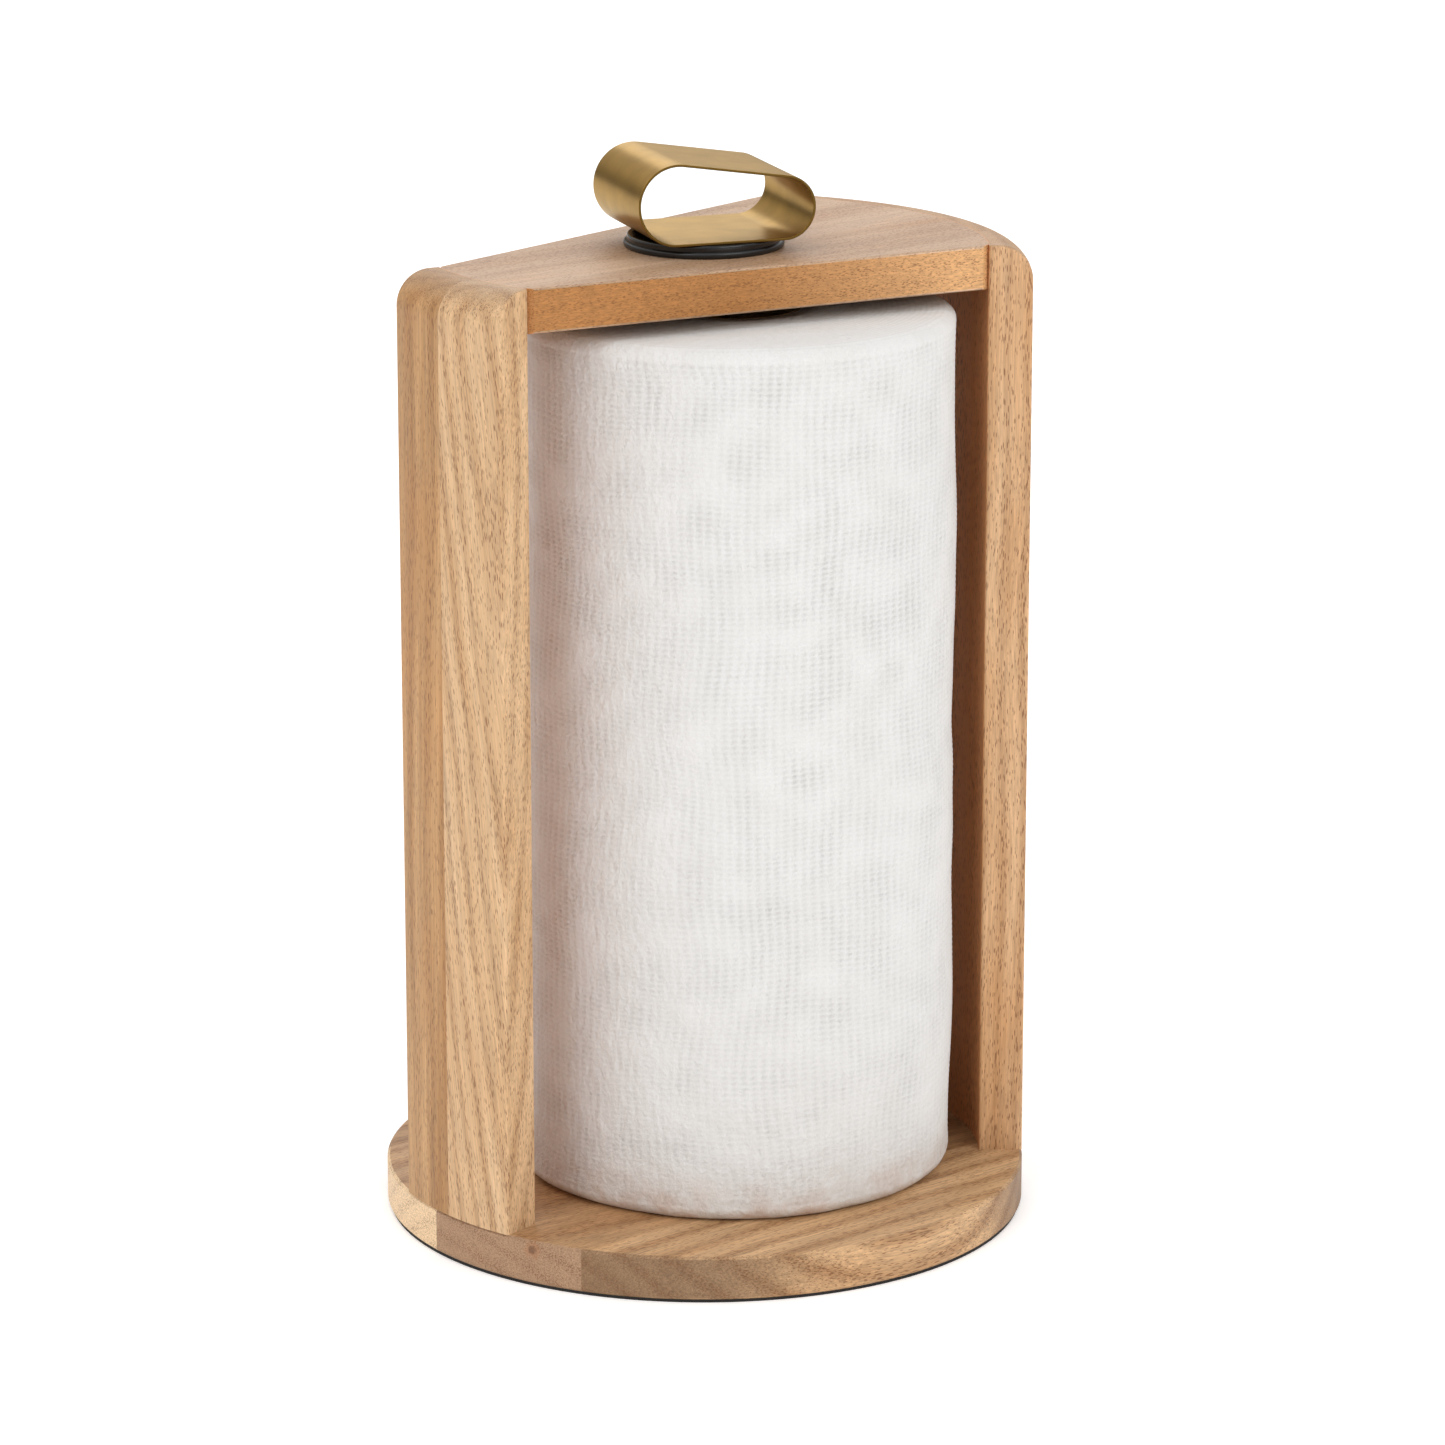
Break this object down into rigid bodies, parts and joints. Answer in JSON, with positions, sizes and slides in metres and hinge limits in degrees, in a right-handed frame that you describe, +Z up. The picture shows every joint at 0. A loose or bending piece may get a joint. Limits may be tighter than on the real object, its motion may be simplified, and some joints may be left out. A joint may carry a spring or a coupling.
{
  "type": "paper towel holder",
  "caption": "Round-based wooden holder with a narrow and a wide curved upright, a wedge-shaped top board and a lift-out rod with a brass loop handle, loaded with a paper roll.",
  "frame": {"origin": "centre of the foot, on the surface the holder stands on", "axes": "+Z up; the open front faces -Y; the narrow upright stands on the -X side and the wide one on the +X side"},
  "size_m": [0.206, 0.206, 0.343],
  "materials": {
    "upright_wood": "acacia staves, clear satin oil",
    "base_wood": "darker acacia planks, clear satin oil",
    "board_wood": "acacia board, clear satin oil",
    "non_slip_pad": "thin black foam sheet",
    "zinc_steel": "zinc plated",
    "beech_dowel": "plain beech",
    "satin_brass": "brushed satin, champagne tone",
    "black_cap": "gloss black",
    "black_ring": "smooth black",
    "rod_brass": "brass plated tube",
    "foot_plastic": "black moulded plug",
    "core_cardboard": "spiral wound kraft board",
    "towel_paper": "white embossed kitchen paper"
  },
  "bodies": {
    "holder": {"base_plank_1": "base_wood", "base_plank_2": "base_wood", "base_plank_3": "base_wood", "base_plank_4": "base_wood", "base_pad": "non_slip_pad", "narrow_stave_1": "upright_wood", "narrow_stave_2": "upright_wood", "wide_stave_1": "upright_wood", "wide_stave_2": "upright_wood", "wide_stave_3": "upright_wood", "wide_stave_4": "upright_wood", "wide_stave_5": "upright_wood", "top_board": "board_wood", "narrow_upright_screws": "zinc_steel", "wide_upright_screws": "zinc_steel", "narrow_end_dowels": "beech_dowel", "wide_end_dowels": "beech_dowel"},
    "ring": {"rest_ring": "black_ring"},
    "rod": {"handle_loop": "satin_brass", "handle_stud": "zinc_steel", "cap_disc": "black_cap", "rod_tube": "rod_brass", "rod_plug": "zinc_steel", "rod_foot": "foot_plastic"},
    "roll": {"paper_roll": "towel_paper", "cardboard_core": "core_cardboard"}
  },
  "joints": [
    {"name": "rod_lift", "type": "slide", "parent": "holder", "child": "ring", "axis": [0, 0, 1], "range_m": [0, 0.295]},
    {"name": "rod_turn", "type": "hinge", "parent": "ring", "child": "rod", "pos_m": [0, 0, 0.313], "axis": [0, 0, 1], "continuous": true},
    {"name": "roll_turn", "type": "hinge", "parent": "holder", "child": "roll", "pos_m": [0.0064, -0.0068, 0.015], "axis": [0, 0, 1], "continuous": true}
  ]
}
